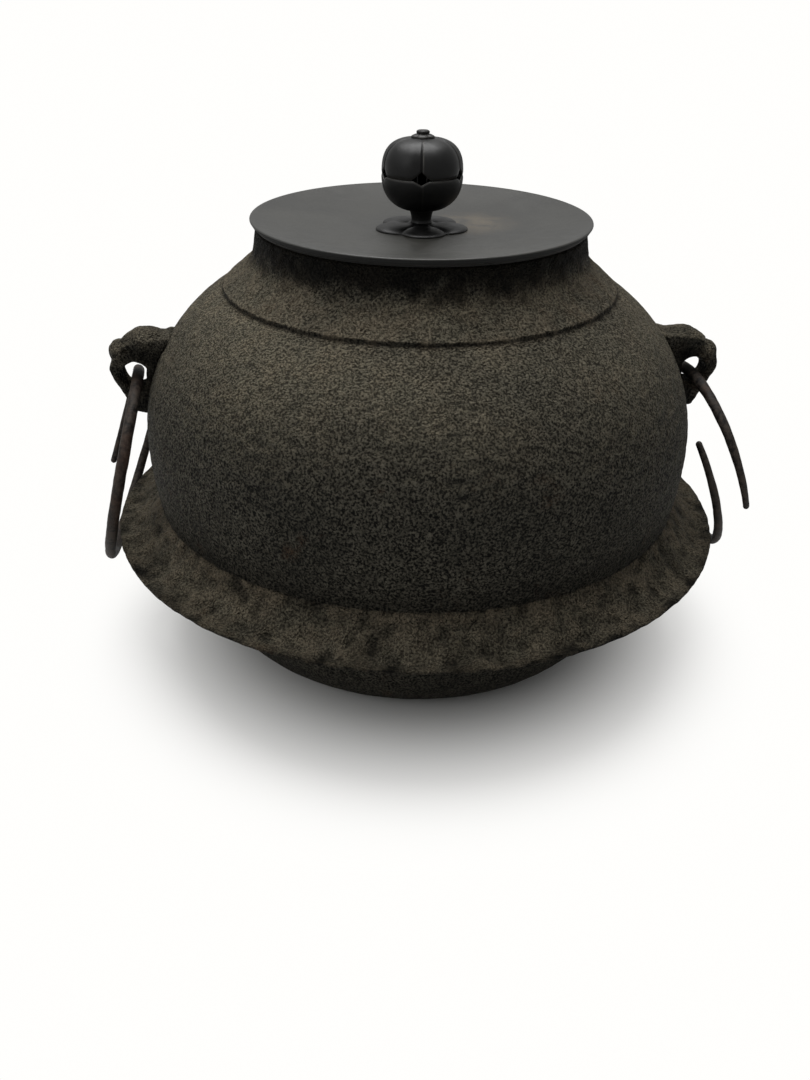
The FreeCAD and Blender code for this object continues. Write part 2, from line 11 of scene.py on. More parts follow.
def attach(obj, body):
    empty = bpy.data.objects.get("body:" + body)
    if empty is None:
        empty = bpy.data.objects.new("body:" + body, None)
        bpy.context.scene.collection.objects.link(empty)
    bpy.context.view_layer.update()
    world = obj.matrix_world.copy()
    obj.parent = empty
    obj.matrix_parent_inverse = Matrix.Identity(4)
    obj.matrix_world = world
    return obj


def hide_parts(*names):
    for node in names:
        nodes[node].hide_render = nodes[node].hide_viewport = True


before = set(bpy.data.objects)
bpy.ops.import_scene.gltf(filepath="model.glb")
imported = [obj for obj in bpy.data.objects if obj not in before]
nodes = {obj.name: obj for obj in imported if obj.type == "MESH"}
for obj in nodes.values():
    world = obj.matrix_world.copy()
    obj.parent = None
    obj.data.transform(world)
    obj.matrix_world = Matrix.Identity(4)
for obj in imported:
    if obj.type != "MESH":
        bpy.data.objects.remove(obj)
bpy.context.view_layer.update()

MM = 0.001
TURN = 2.0 * math.pi
PETALS = 5
FRONT = -0.5 * math.pi

# Heights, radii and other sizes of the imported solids, in millimetres
DRUM_RADIUS, BELLY_HEIGHT, BELLY_ARC = 118.6, 100.0, 71.5
SKIRT_RADIUS, SKIRT_HEIGHT, SKIRT_LIP = 135.0, 57.0, 2.2
FLARE_FOOT, FLARE_TOP = 60.1, 72.0
FOOT_RADIUS, FOOT_RECESS, BOWL_ARC, BOWL_CORNER = 66.0, 1.2, 36.0, 22.0
BOWL_TOP_RADIUS, BOWL_CORNER_RADIUS, BOWL_TOP = 109.99, 95.99, 63.0
INNER_FLOOR, INNER_CORNER = 4.8, 23.2
SHOULDER_RADIUS, SHOULDER_HEIGHT, SHOULDER_STEP = 82.5, 162.12, 1.3
SLOPE_TOP_RADIUS, SLOPE_TOP = 72.4, 172.02
NECK_FOOT_RADIUS, NECK_FOOT, NECK_FILLET = 69.6, 176.22, 9.0
NECK_RADIUS, MOUTH_HEIGHT, MOUTH_RADIUS = 68.2, 186.12, 63.7
WALL = 3.6
LID_RADIUS, LID_TOP, LID_CENTRE, LID_FLAT, LID_UNDER = 69.7, 189.52, 184.52, 21.0, 181.72
LID_DISH, DISH_RUN = 5.0, 47.6
SEAT_TOP, BUD_FOOT, BUD_SEAM, BUD_TOP, KNOB_TOP = 186.72, 191.72, 205.72, 219.52, 222.42
BUD_RADIUS, BORE = 16.5, 2.1

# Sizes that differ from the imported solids: the flare, the drum's lower side, the button and the bud's turn
FLARE_ARC, LOW_SIDE_INSET, BUTTON_RADIUS = 45.0, 2.6, 4.8
BUD_FRONT = math.radians(-96.0)


def smoothstep(low, high, value):
    share = np.clip((value - low) / (high - low), 0.0, 1.0)
    return share * share * (3.0 - 2.0 * share)


def perlin(points, size, seed=0.0):
    """Smooth noise at points in millimetres, with features of about that size."""
    shift = Vector((17.3 + seed, 5.1 - seed, 9.7 + 2.0 * seed))
    step = 1.0 / size
    return np.array([noise.noise(Vector(point) * step + shift) for point in points])


def new_object(name, verts, faces):
    """Smooth mesh object from vertices in millimetres."""
    mesh = bpy.data.meshes.new(name)
    mesh.from_pydata((np.asarray(verts, float) * MM).tolist(), [], faces)
    mesh.validate()
    made = bpy.data.objects.new(name, mesh)
    bpy.context.scene.collection.objects.link(made)
    mesh.polygons.foreach_set("use_smooth", [True] * len(mesh.polygons))
    return made


def dress(made, body, replaced, material):
    """Gives a piece its material, its body and the CAD nodes it stands for."""
    made.data.materials.clear()
    made.data.materials.append(material)
    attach(made, body)
    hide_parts(*replaced)


def set_attribute(made, name, values):
    layer = made.data.attributes.new(name, "FLOAT", "POINT")
    layer.data.foreach_set("value", np.asarray(values, np.float32))


# Profiles turned about the kettle's axis


def arc(start, end, radius, side, step):
    """Points along an arc from start to end, without the end: side 1 turns left and -1 turns right."""
    start, end = np.array(start, float), np.array(end, float)
    chord = end - start
    length = np.hypot(*chord)
    rise = math.sqrt(max(0.0, radius ** 2 - (length / 2) ** 2))
    centre = (start + end) / 2 + np.array((-chord[1], chord[0])) / length * rise * side
    first = math.atan2(*(start - centre)[::-1])
    last = math.atan2(*(end - centre)[::-1])
    sweep = (last - first) % TURN if side > 0 else -((first - last) % TURN)
    count = max(2, int(abs(sweep) * radius / step))
    angles = first + sweep * np.arange(count) / count
    return [(centre[0] + radius * math.cos(a), centre[1] + radius * math.sin(a)) for a in angles]


def line(start, end, step):
    """Points along a straight run, without the end."""
    start, end = np.array(start, float), np.array(end, float)
    count = max(1, int(np.hypot(*(end - start)) / step))
    return [tuple(start + (end - start) * i / count) for i in range(count)]


def soften(path, spread):
    """Rounds a profile's corners by averaging each point with its neighbours over a length of arc."""
    path = np.array(path)
    gaps = np.hypot(*np.diff(path, axis=0).T)
    along = np.concatenate(([0.0], np.cumsum(gaps)))
    fine = np.arange(0.0, along[-1], 0.1)
    dense = np.stack([np.interp(fine, along, path[:, k]) for k in (0, 1)], axis=1)
    reach = int(3 * spread / 0.1)
    kernel = np.exp(-0.5 * (np.arange(-reach, reach + 1) * 0.1 / spread) ** 2)
    kernel /= kernel.sum()
    padded = np.pad(dense, ((reach, reach), (0, 0)), mode="edge")
    rounded = np.stack([np.convolve(padded[:, k], kernel, "valid") for k in (0, 1)], axis=1)
    return np.stack([np.interp(along, fine, rounded[:, k]) for k in (0, 1)], axis=1)


def normals_of(path):
    """Outward normals of a profile that runs up the outside."""
    tangent = np.gradient(path, axis=0)
    tangent /= np.maximum(np.hypot(*tangent.T), 1e-9)[:, None]
    return np.stack([tangent[:, 1], -tangent[:, 0]], axis=1)


class Turned:
    """Surface built ring by ring, where a ring may have half or twice its neighbour's columns."""

    def __init__(self):
        self.verts, self.faces, self.rings = [], [], []

    def ring(self, points):
        start = len(self.verts)
        self.verts.extend(points)
        here = list(range(start, start + len(points)))
        if self.rings:
            self.join(self.rings[-1], here)
        self.rings.append(here)

    def join(self, low, high):
        count, other = len(low), len(high)
        if count == other:
            for i in range(count):
                j = (i + 1) % count
                self.faces.append((low[i], low[j], high[j], high[i]))
        elif other == 1:
            for i in range(count):
                self.faces.append((low[i], low[(i + 1) % count], high[0]))
        elif count == 1:
            for i in range(other):
                self.faces.append((low[0], high[(i + 1) % other], high[i]))
        elif count > other:
            for i in range(other):
                a, b, c = low[2 * i], low[2 * i + 1], low[(2 * i + 2) % count]
                d, e = high[i], high[(i + 1) % other]
                self.faces += [(a, b, d), (b, e, d), (b, c, e)]
        else:
            for i in range(count):
                a, b = low[i], low[(i + 1) % count]
                c, d, e = high[2 * i], high[2 * i + 1], high[(2 * i + 2) % other]
                self.faces += [(a, d, c), (a, b, d), (b, e, d)]


def around(columns):
    return TURN * np.arange(columns) / columns


# Materials


class Shader:
    """Node tree of one material, with short ways to add the nodes used here."""

    def __init__(self, name):
        self.material = bpy.data.materials.new(name)
        self.material.use_nodes = True
        self.tree = self.material.node_tree
        self.bsdf = self.tree.nodes["Principled BSDF"]
        self.place = self.node("ShaderNodeTexCoord").outputs["Object"]

    def node(self, kind, **settings):
        made = self.tree.nodes.new(kind)
        for key, value in settings.items():
            setattr(made, key, value)
        return made

    def feed(self, socket, value):
        if isinstance(value, bpy.types.NodeSocket):
            self.tree.links.new(value, socket)
        else:
            socket.default_value = value

    def noise(self, scale, detail=3.0, roughness=0.55, distortion=0.0, place=None):
        made = self.node("ShaderNodeTexNoise")
        self.feed(made.inputs["Vector"], place or self.place)
        made.inputs["Scale"].default_value = scale
        made.inputs["Detail"].default_value = detail
        made.inputs["Roughness"].default_value = roughness
        made.inputs["Distortion"].default_value = distortion
        return made.outputs["Fac"]

    def voronoi(self, scale):
        made = self.node("ShaderNodeTexVoronoi")
        self.feed(made.inputs["Vector"], self.place)
        made.inputs["Scale"].default_value = scale
        return made.outputs["Distance"]

    def span(self, value, low, high, out_low=0.0, out_high=1.0):
        """Maps a range smoothly onto another."""
        made = self.node("ShaderNodeMapRange", interpolation_type="SMOOTHSTEP")
        self.feed(made.inputs["Value"], value)
        made.inputs["From Min"].default_value = low
        made.inputs["From Max"].default_value = high
        made.inputs["To Min"].default_value = out_low
        made.inputs["To Max"].default_value = out_high
        return made.outputs["Result"]

    def math(self, operation, first, second=0.0):
        made = self.node("ShaderNodeMath", operation=operation)
        self.feed(made.inputs[0], first)
        self.feed(made.inputs[1], second)
        return made.outputs[0]

    def mix(self, share, first, second):
        made = self.node("ShaderNodeMix", data_type="RGBA")
        self.feed(made.inputs["Factor"], share)
        self.feed(made.inputs["A"], first if isinstance(first, bpy.types.NodeSocket) else (*first, 1.0))
        self.feed(made.inputs["B"], second if isinstance(second, bpy.types.NodeSocket) else (*second, 1.0))
        return made.outputs["Result"]

    def attribute(self, name):
        return self.node("ShaderNodeAttribute", attribute_name=name).outputs["Fac"]

    def facing_up(self, low=0.1, high=0.9):
        """Share from 0 to 1 by how far a face looks up."""
        split = self.node("ShaderNodeSeparateXYZ")
        self.tree.links.new(self.node("ShaderNodeNewGeometry").outputs["Normal"], split.inputs[0])
        return self.span(split.outputs["Z"], low, high)

    def bump(self, height, distance, strength=1.0, under=None):
        made = self.node("ShaderNodeBump")
        made.inputs["Strength"].default_value = strength
        made.inputs["Distance"].default_value = distance
        self.feed(made.inputs["Height"], height)
        if under is not None:
            self.tree.links.new(under, made.inputs["Normal"])
        return made.outputs["Normal"]

    def finish(self, color, roughness, normal, specular):
        self.feed(self.bsdf.inputs["Base Color"], color)
        self.feed(self.bsdf.inputs["Roughness"], roughness)
        self.feed(self.bsdf.inputs["Normal"], normal)
        self.bsdf.inputs["Specular IOR Level"].default_value = specular
        return self.material


def kettle_iron():
    """Dark finely pitted casting with olive-brown dust where it faces up, soot with painted shade, and faint
    rust.
    """
    s = Shader("kettle_iron")
    pit, bare_and_highlight, soot_and_shade = (s.attribute(name) for name in ("pit", "bare_and_highlight", "soot_and_shade"))
    worm = s.noise(1150.0, 2.0, 0.5, 0.4)
    grain = s.noise(2300.0, 3.0, 0.6)
    cloud = s.noise(24.0, 4.0, 0.6)
    patch = s.noise(70.0, 4.0, 0.65)
    up = s.facing_up(0.12, 0.80)
    crests = s.math("MULTIPLY", s.span(worm, 0.35, 0.67), s.span(pit, 0.0, 0.9, 0.72, 1.0))
    iron = s.mix(crests, (0.0050, 0.0050, 0.0043), (0.096, 0.0890, 0.0705))
    iron = s.mix(s.span(cloud, 0.35, 0.68, 0.0, 0.35), iron, (0.010, 0.0105, 0.0100))
    dusty = s.mix(s.span(patch, 0.35, 0.7), (0.145, 0.130, 0.094), (0.185, 0.158, 0.111))
    loose = s.math("MULTIPLY", s.span(cloud, 0.28, 0.66, 0.35, 0.95), s.span(crests, 0.05, 0.8, 0.28, 1.0))
    color = s.mix(s.math("MULTIPLY", up, loose), iron, dusty)
    # Paler worn metal and dust from this attribute, and a painted highlight along the shoulder step
    worn = s.math("MULTIPLY", bare_and_highlight, s.span(patch, 0.36, 0.62, 0.15, 0.85))
    worn = s.math("MULTIPLY", worn, s.span(worm, 0.34, 0.66, 0.35, 1.0))
    color = s.mix(worn, color, (0.150, 0.125, 0.089))
    rust = s.math("MULTIPLY", s.span(s.noise(46.0, 5.0, 0.7), 0.58, 0.72, 0.0, 0.5), s.span(grain, 0.4, 0.6))
    color = s.mix(rust, color, (0.070, 0.036, 0.019))
    # Near-black from this attribute: soot, and painted shade under the lid, in the shoulder groove, on the
    # drum's lower side and under the lug hoods
    color = s.mix(s.math("MULTIPLY", soot_and_shade, 0.9), color, (0.0022, 0.0022, 0.0021))
    specks = s.span(s.voronoi(62.0), 0.035, 0.05, 0.6, 0.0)
    rare = s.math("MULTIPLY", specks, s.span(s.noise(21.0, 1.0), 0.67, 0.7))
    color = s.mix(rare, color, (0.45, 0.42, 0.36))
    rough = s.span(grain, 0.3, 0.7, 0.58, 0.78)
    fine = s.bump(grain, 0.0003, 0.7)
    knobbly = s.bump(s.math("MULTIPLY", s.noise(290.0, 3.0, 0.6), bare_and_highlight), 0.0030, 1.0, fine)
    normal = s.bump(worm, 0.0026, 1.0, knobbly)
    return s.finish(color, rough, normal, specular=0.04)


def ring_iron():
    """Forged rod: dark scale with hammer marks and rust-brown tint."""
    s = Shader("ring_iron")
    scale = s.noise(420.0, 4.0, 0.65)
    grain = s.noise(1500.0, 3.0, 0.6)
    patch = s.noise(55.0, 4.0, 0.65)
    color = s.mix(s.span(scale, 0.34, 0.66), (0.0045, 0.0038, 0.0034), (0.040, 0.032, 0.026))
    color = s.mix(s.span(patch, 0.48, 0.7, 0.0, 0.5), color, (0.058, 0.031, 0.020))
    color = s.mix(s.span(grain, 0.62, 0.75, 0.0, 0.4), color, (0.11, 0.085, 0.06))
    rough = s.span(scale, 0.3, 0.7, 0.52, 0.74)
    normal = s.bump(scale, 0.0005, 0.7, s.bump(grain, 0.0002, 0.6))
    return s.finish(color, rough, normal, specular=0.16)


def lid_bronze():
    """Dark satin patina with faint turning marks, rubs and a brown stain beside the knob."""
    s = Shader("lid_bronze")
    split = s.node("ShaderNodeSeparateXYZ")
    s.tree.links.new(s.place, split.inputs[0])
    flat = s.node("ShaderNodeCombineXYZ")
    s.tree.links.new(split.outputs["X"], flat.inputs["X"])
    s.tree.links.new(split.outputs["Y"], flat.inputs["Y"])
    reach = s.node("ShaderNodeVectorMath", operation="LENGTH")
    s.tree.links.new(flat.outputs[0], reach.inputs[0])
    round_place = s.node("ShaderNodeCombineXYZ")
    s.tree.links.new(reach.outputs["Value"], round_place.inputs["X"])
    turned = s.noise(900.0, 3.0, 0.6, 0.0, round_place.outputs[0])
    cloud = s.noise(24.0, 5.0, 0.6)
    grain = s.noise(1400.0, 3.0, 0.6)
    rub = s.noise(90.0, 6.0, 0.7, 0.8)
    color = s.mix(s.span(cloud, 0.3, 0.7), (0.0130, 0.0130, 0.0110), (0.0225, 0.0220, 0.0185))
    color = s.mix(s.span(rub, 0.58, 0.75, 0.0, 0.3), color, (0.034, 0.032, 0.026))
    away = s.node("ShaderNodeVectorMath", operation="DISTANCE")
    s.tree.links.new(s.place, away.inputs[0])
    away.inputs[1].default_value = (0.021, 0.007, LID_CENTRE * MM)
    near = s.span(away.outputs["Value"], 0.005, 0.024, 1.0, 0.0)
    stain = s.math("MULTIPLY", near, s.span(rub, 0.30, 0.60))
    color = s.mix(s.math("MULTIPLY", stain, 0.75), color, (0.085, 0.068, 0.045))
    specks = s.span(s.voronoi(85.0), 0.03, 0.045, 0.6, 0.0)
    rare = s.math("MULTIPLY", specks, s.span(s.noise(30.0, 1.0), 0.66, 0.7))
    color = s.mix(rare, color, (0.40, 0.38, 0.34))
    # Painted shade: the wall of the lid's edge is near-black, and a thin line over its step is darkened less
    # as a painted highlight
    edge_shade = s.attribute("edge_shade")
    color = s.mix(edge_shade, color, (0.0035, 0.0035, 0.0032))
    rough = s.math("ADD", s.span(cloud, 0.3, 0.7, 0.36, 0.44), s.span(rub, 0.4, 0.7, 0.0, 0.10))
    rough = s.math("MAXIMUM", rough, s.span(edge_shade, 0.0, 1.0, 0.0, 0.9))
    normal = s.bump(turned, 0.00005, 0.5, s.bump(grain, 0.00006, 0.5))
    return s.finish(color, rough, normal, specular=0.42)


def knob_bronze():
    """Near-black satin patina, worn a little paler along high edges."""
    s = Shader("knob_bronze")
    cloud = s.noise(120.0, 4.0, 0.6)
    grain = s.noise(1800.0, 3.0, 0.6)
    edge = s.attribute("edge_wear")
    color = s.mix(s.span(cloud, 0.3, 0.7), (0.0020, 0.0020, 0.0020), (0.0048, 0.0048, 0.0047))
    worn = s.math("MULTIPLY", edge, s.span(cloud, 0.35, 0.6, 0.3, 1.0))
    color = s.mix(worn, color, (0.10, 0.095, 0.085))
    rough = s.span(cloud, 0.3, 0.7, 0.36, 0.50)
    normal = s.bump(grain, 0.00006, 0.6, s.bump(cloud, 0.0003, 0.3))
    return s.finish(color, rough, normal, specular=0.26)


def plate_iron():
    """Rough rusty plates on the inner floor."""
    s = Shader("plate_iron")
    patch = s.noise(90.0, 4.0, 0.65)
    grain = s.noise(900.0, 3.0, 0.6)
    color = s.mix(s.span(patch, 0.35, 0.7), (0.035, 0.028, 0.024), (0.095, 0.050, 0.028))
    rough = s.span(grain, 0.3, 0.7, 0.6, 0.85)
    return s.finish(color, rough, s.bump(grain, 0.0004, 0.8), specular=0.35)


# Casting

# Spacing of the rows, in millimetres, and the greatest number of columns
ROW_STEP, CORNER_STEP, COLUMNS = 1.15, 0.38, 512

# Numbers of rows at the foot, at the inner floor, and before the grain starts
FOOT_ROWS, FLOOR_ROWS, PLAIN_ROWS = 9, 6, 14

# Heights over which the drum's grain ends at the shoulder, and over which the painted shadow of the lid sets
# in on the neck
DRUM_FADE, LID_SHADOW_FADE = (161.0, 162.2), (172.0, 181.5)


def casting():
    """Whole casting: pitted drum, ragged skirt and grained neck outside, plain walls inside."""
    drum_low = DRUM_RADIUS - LOW_SIDE_INSET
    low_rise = BELLY_HEIGHT - FLARE_TOP
    low_arc = (low_rise ** 2 + LOW_SIDE_INSET ** 2) / (2.0 * LOW_SIDE_INSET)
    profile = []
    profile += line((0.0, FOOT_RECESS), (57.0, FOOT_RECESS), 9.0)
    profile += line((57.0, FOOT_RECESS), (58.2, 0.0), 1.0)
    profile += line((58.2, 0.0), (FOOT_RADIUS, 0.0), 2.6)
    profile += arc((FOOT_RADIUS, 0.0), (BOWL_CORNER_RADIUS, BOWL_CORNER), BOWL_ARC, 1, 2.4)
    profile += line((BOWL_CORNER_RADIUS, BOWL_CORNER), (BOWL_TOP_RADIUS, BOWL_TOP), 2.4)
    profile += line((BOWL_TOP_RADIUS, BOWL_TOP), (SKIRT_RADIUS - 9.0, SKIRT_HEIGHT), 2.4)
    bowl_rows = len(profile)
    profile += line((SKIRT_RADIUS - 9.0, SKIRT_HEIGHT), (SKIRT_RADIUS - 1.2, SKIRT_HEIGHT), 1.6)
    profile += line((SKIRT_RADIUS - 1.2, SKIRT_HEIGHT), (SKIRT_RADIUS, SKIRT_HEIGHT + 0.6), 0.6)
    profile += line((SKIRT_RADIUS, SKIRT_HEIGHT + 0.6), (SKIRT_RADIUS, SKIRT_HEIGHT + SKIRT_LIP), 0.7)
    profile += line((SKIRT_RADIUS, SKIRT_HEIGHT + SKIRT_LIP), (SKIRT_RADIUS - 7.0, FLARE_FOOT), 1.0)
    flare = arc((SKIRT_RADIUS - 7.0, FLARE_FOOT), (drum_low, FLARE_TOP), FLARE_ARC, -1, 1.12)
    profile += flare[:-1] + line(flare[-1], (drum_low, FLARE_TOP), CORNER_STEP)
    drum_end = (drum_radius(SHOULDER_HEIGHT - 1.5), SHOULDER_HEIGHT - 1.5)
    slope_start = (SHOULDER_RADIUS - 1.8, SHOULDER_HEIGHT + SHOULDER_STEP + 1.5)
    low_side = arc((drum_low, FLARE_TOP), (DRUM_RADIUS, BELLY_HEIGHT), low_arc, 1, ROW_STEP)
    profile += line(low_side[0], low_side[1], CORNER_STEP) + low_side[1:]
    profile += arc((DRUM_RADIUS, BELLY_HEIGHT), drum_end, BELLY_ARC, 1, ROW_STEP)
    profile += line(drum_end, (SHOULDER_RADIUS, SHOULDER_HEIGHT), 0.45)
    shoulder_top = (SHOULDER_RADIUS, SHOULDER_HEIGHT + SHOULDER_STEP)
    profile += line((SHOULDER_RADIUS, SHOULDER_HEIGHT), shoulder_top, 0.32)
    profile += line(shoulder_top, slope_start, 0.5)
    profile += line(slope_start, (SLOPE_TOP_RADIUS, SLOPE_TOP), ROW_STEP)
    profile += arc((SLOPE_TOP_RADIUS, SLOPE_TOP), (NECK_FOOT_RADIUS, NECK_FOOT), NECK_FILLET, -1, ROW_STEP)
    profile += line((NECK_FOOT_RADIUS, NECK_FOOT), (NECK_RADIUS, MOUTH_HEIGHT - 0.8), 1.3)
    profile += line((NECK_RADIUS, MOUTH_HEIGHT - 0.8), (NECK_RADIUS - 0.8, MOUTH_HEIGHT), 1.0)
    outer_rows = len(profile)
    inner_join = FLARE_TOP + WALL
    inner_arc = BELLY_ARC - WALL
    inner_corner = (BOWL_CORNER_RADIUS - WALL, INNER_CORNER)
    inner_drum = DRUM_RADIUS - BELLY_ARC + math.sqrt(inner_arc ** 2 - (inner_join - BELLY_HEIGHT) ** 2)
    inner_shoulder = SHOULDER_RADIUS - WALL
    inner_top = BELLY_HEIGHT + math.sqrt(inner_arc ** 2 - (inner_shoulder - DRUM_RADIUS + BELLY_ARC) ** 2)
    profile += line((NECK_RADIUS - 0.8, MOUTH_HEIGHT), (MOUTH_RADIUS, MOUTH_HEIGHT), 2.0)
    profile += line((MOUTH_RADIUS, MOUTH_HEIGHT), (MOUTH_RADIUS, SLOPE_TOP - WALL), 4.0)
    profile += line((MOUTH_RADIUS, SLOPE_TOP - WALL), (inner_shoulder, inner_top), 4.0)
    profile += arc((inner_shoulder, inner_top), (inner_drum, inner_join), inner_arc, -1, 5.0)
    profile += line((inner_drum, inner_join), (BOWL_TOP_RADIUS - WALL, BOWL_TOP), 5.0)
    profile += line((BOWL_TOP_RADIUS - WALL, BOWL_TOP), inner_corner, 6.0)
    profile += arc(inner_corner, (FOOT_RADIUS, INNER_FLOOR), BOWL_ARC - WALL, -1, 5.0)
    profile += line((FOOT_RADIUS, INNER_FLOOR), (0.0, INNER_FLOOR), 10.0)
    profile.append((0.0, INNER_FLOOR))
    path = np.array(profile)
    rounded = soften(path, 0.28)
    rounded[0], rounded[-1] = path[0], path[-1]
    rounded[:, 1] = np.maximum(rounded[:, 1], 0.0)
    normal = normals_of(rounded)
    turned = Turned()
    shares = {"pit": [], "bare_and_highlight": [], "soot_and_shade": []}
    for row, (radius, level) in enumerate(rounded):
        if row < FOOT_ROWS or row > len(rounded) - FLOOR_ROWS:
            columns = COLUMNS // 8 if radius > 20 else COLUMNS // 16
        elif row < bowl_rows:
            columns = COLUMNS // 2 if row > PLAIN_ROWS else COLUMNS // 4
        elif row <= outer_rows:
            columns = COLUMNS
        elif row <= outer_rows + 1:
            columns = COLUMNS // 2
        else:
            columns = COLUMNS // 4
        if radius < 1e-6:
            turned.ring([(0.0, 0.0, level)])
            for share in shares.values():
                share.append(0.5)
            continue
        turn = around(columns)
        unit = np.stack([np.cos(turn), np.sin(turn)], axis=1)
        points = np.concatenate([unit * radius, np.full((columns, 1), level)], axis=1)
        push, *ring_shares = surface(points, row, bowl_rows, outer_rows, radius, level)
        points[:, :2] += unit * (push * normal[row, 0])[:, None]
        points[:, 2] += push * normal[row, 1]
        points[:, 2] = np.maximum(points[:, 2], 0.0)
        turned.ring([tuple(point) for point in points])
        for share, values in zip(shares.values(), ring_shares):
            share.extend(values)
    made = new_object("kettle_casting", turned.verts, turned.faces)
    for name, values in shares.items():
        set_attribute(made, name, values)
    dress(made, "kettle", ["kettle_body"], kettle_material)


def surface(points, row, bowl_rows, outer_rows, radius, level):
    """Push along the normal, and the shares of pits, of bare metal, dust and a painted highlight, and of soot
    and painted shade, for one ring of the casting.
    """
    count = len(points)
    if row > outer_rows or row < PLAIN_ROWS:
        return np.zeros(count), np.full(count, 0.8), np.full(count, 0.5), np.zeros(count)
    if row < bowl_rows:
        grain = perlin(points, 7.0, 3.0)
        # The bowl a little darker all over
        return -0.18 - 0.18 * grain, 0.72 + 0.3 * grain, np.zeros(count), np.full(count, 0.15)
    skirt = 1.0 - smoothstep(FLARE_TOP - 0.5, FLARE_TOP + 0.2, level)
    drum = (1.0 - skirt) * (1.0 - smoothstep(*DRUM_FADE, level))
    wave = perlin(points, 34.0, 1.0)
    lump = perlin(points, 5.0, 2.0)
    worm = perlin(points, 2.7, 4.0)
    pit = smoothstep(-0.40, 0.30, worm)
    depth = 0.22 + 0.12 * drum
    rough = 0.05 + 0.18 * (1.0 - drum) + 0.85 * skirt
    push = -0.55 - 0.25 * skirt + 0.12 * wave + rough * lump - depth * (1.0 - pit) + 0.2 * drum
    soot_and_shade = np.zeros(count)
    if level < SKIRT_HEIGHT + 4.5 and radius > SKIRT_RADIUS - 8.0:
        lip = smoothstep(SKIRT_RADIUS - 5.0, SKIRT_RADIUS - 0.6, radius)
        ragged = np.maximum(0.0, perlin(points, 11.0, 8.0)) + 0.5 * np.maximum(0.0, perlin(points, 4.0, 9.0))
        push = push * (1.0 - 0.7 * lip) - lip * (0.06 + 0.32 * ragged)
        # The skirt darker towards its lip
        soot_and_shade += 0.35 * lip
    groove = math.exp(-((level - SHOULDER_HEIGHT - 0.1) / 0.42) ** 2)
    broken = 0.75 + 0.5 * perlin(points, 5.0, 13.0)
    push = push * (1.0 - 0.6 * groove) - 0.55 * groove * broken
    push = np.minimum(push, 0.0)
    # A band just over the shoulder step, painted lighter as a highlight along the step's edge
    ridge = math.exp(-((level - SHOULDER_HEIGHT - SHOULDER_STEP - 0.3) / 0.7) ** 2)
    corner = skirt * math.exp(-((level - FLARE_TOP + 1.0) / 2.6) ** 2)
    # Painted shade: the drum's lower side is darkened just above the skirt
    shade = drum * (1.0 - smoothstep(FLARE_TOP, FLARE_TOP + 13.0, level))
    # Worn lumps on the skirt and neck, dust in the skirt's corner, and the painted highlight over the
    # shoulder step
    bare_and_highlight = (1.0 - drum) * (0.55 + 1.1 * lump) + 1.7 * corner * (0.8 + lump) + 0.4 * ridge
    # Painted shadow of the lid on the neck's top, painted shade in the shoulder groove and on the drum's
    # lower side
    soot_and_shade += smoothstep(*LID_SHADOW_FADE, level + 8.0 * lump) + 0.8 * groove + 0.35 * shade
    # The skirt darker in the hollows between its lumps, and in patches at random
    soot_and_shade += 0.9 * skirt * np.maximum(0.0, -lump)
    soot_and_shade += 0.8 * skirt * (1.0 - corner) * np.maximum(0.0, perlin(points, 13.0, 6.0))
    return push, pit, np.clip(bare_and_highlight, 0.0, 1.8), np.clip(soot_and_shade, 0.0, 1.0)


# Lugs


def drum_radius(level):
    return DRUM_RADIUS - BELLY_ARC + np.sqrt(np.maximum(0.0, BELLY_ARC ** 2 - (level - BELLY_HEIGHT) ** 2))


# Swellings that round the lugs off, as centre and radii: hood, nose and the web behind the hole
LUG_SWELLINGS = {
    "right": (
        ((117.0, 0.0, 137.4), (9.8, 9.2, 5.2)),
        ((127.9, 0.0, 131.0), (4.6, 7.8, 4.9)),
        ((114.4, 0.0, 123.0), (3.2, 6.0, 7.0)),
    ),
    "left": (
        ((117.0, 0.0, 138.4), (9.8, 9.2, 5.4)),
        ((127.9, 0.0, 133.4), (4.6, 7.8, 5.1)),
        ((114.4, 0.0, 123.0), (3.2, 6.0, 7.0)),
    ),
}
LUG_ROOF = {"right": 142.6, "left": 143.9}
ROOF_BLEND, LUG_VOXEL, LUG_SMOOTHINGS = 0.9, 0.45, 14


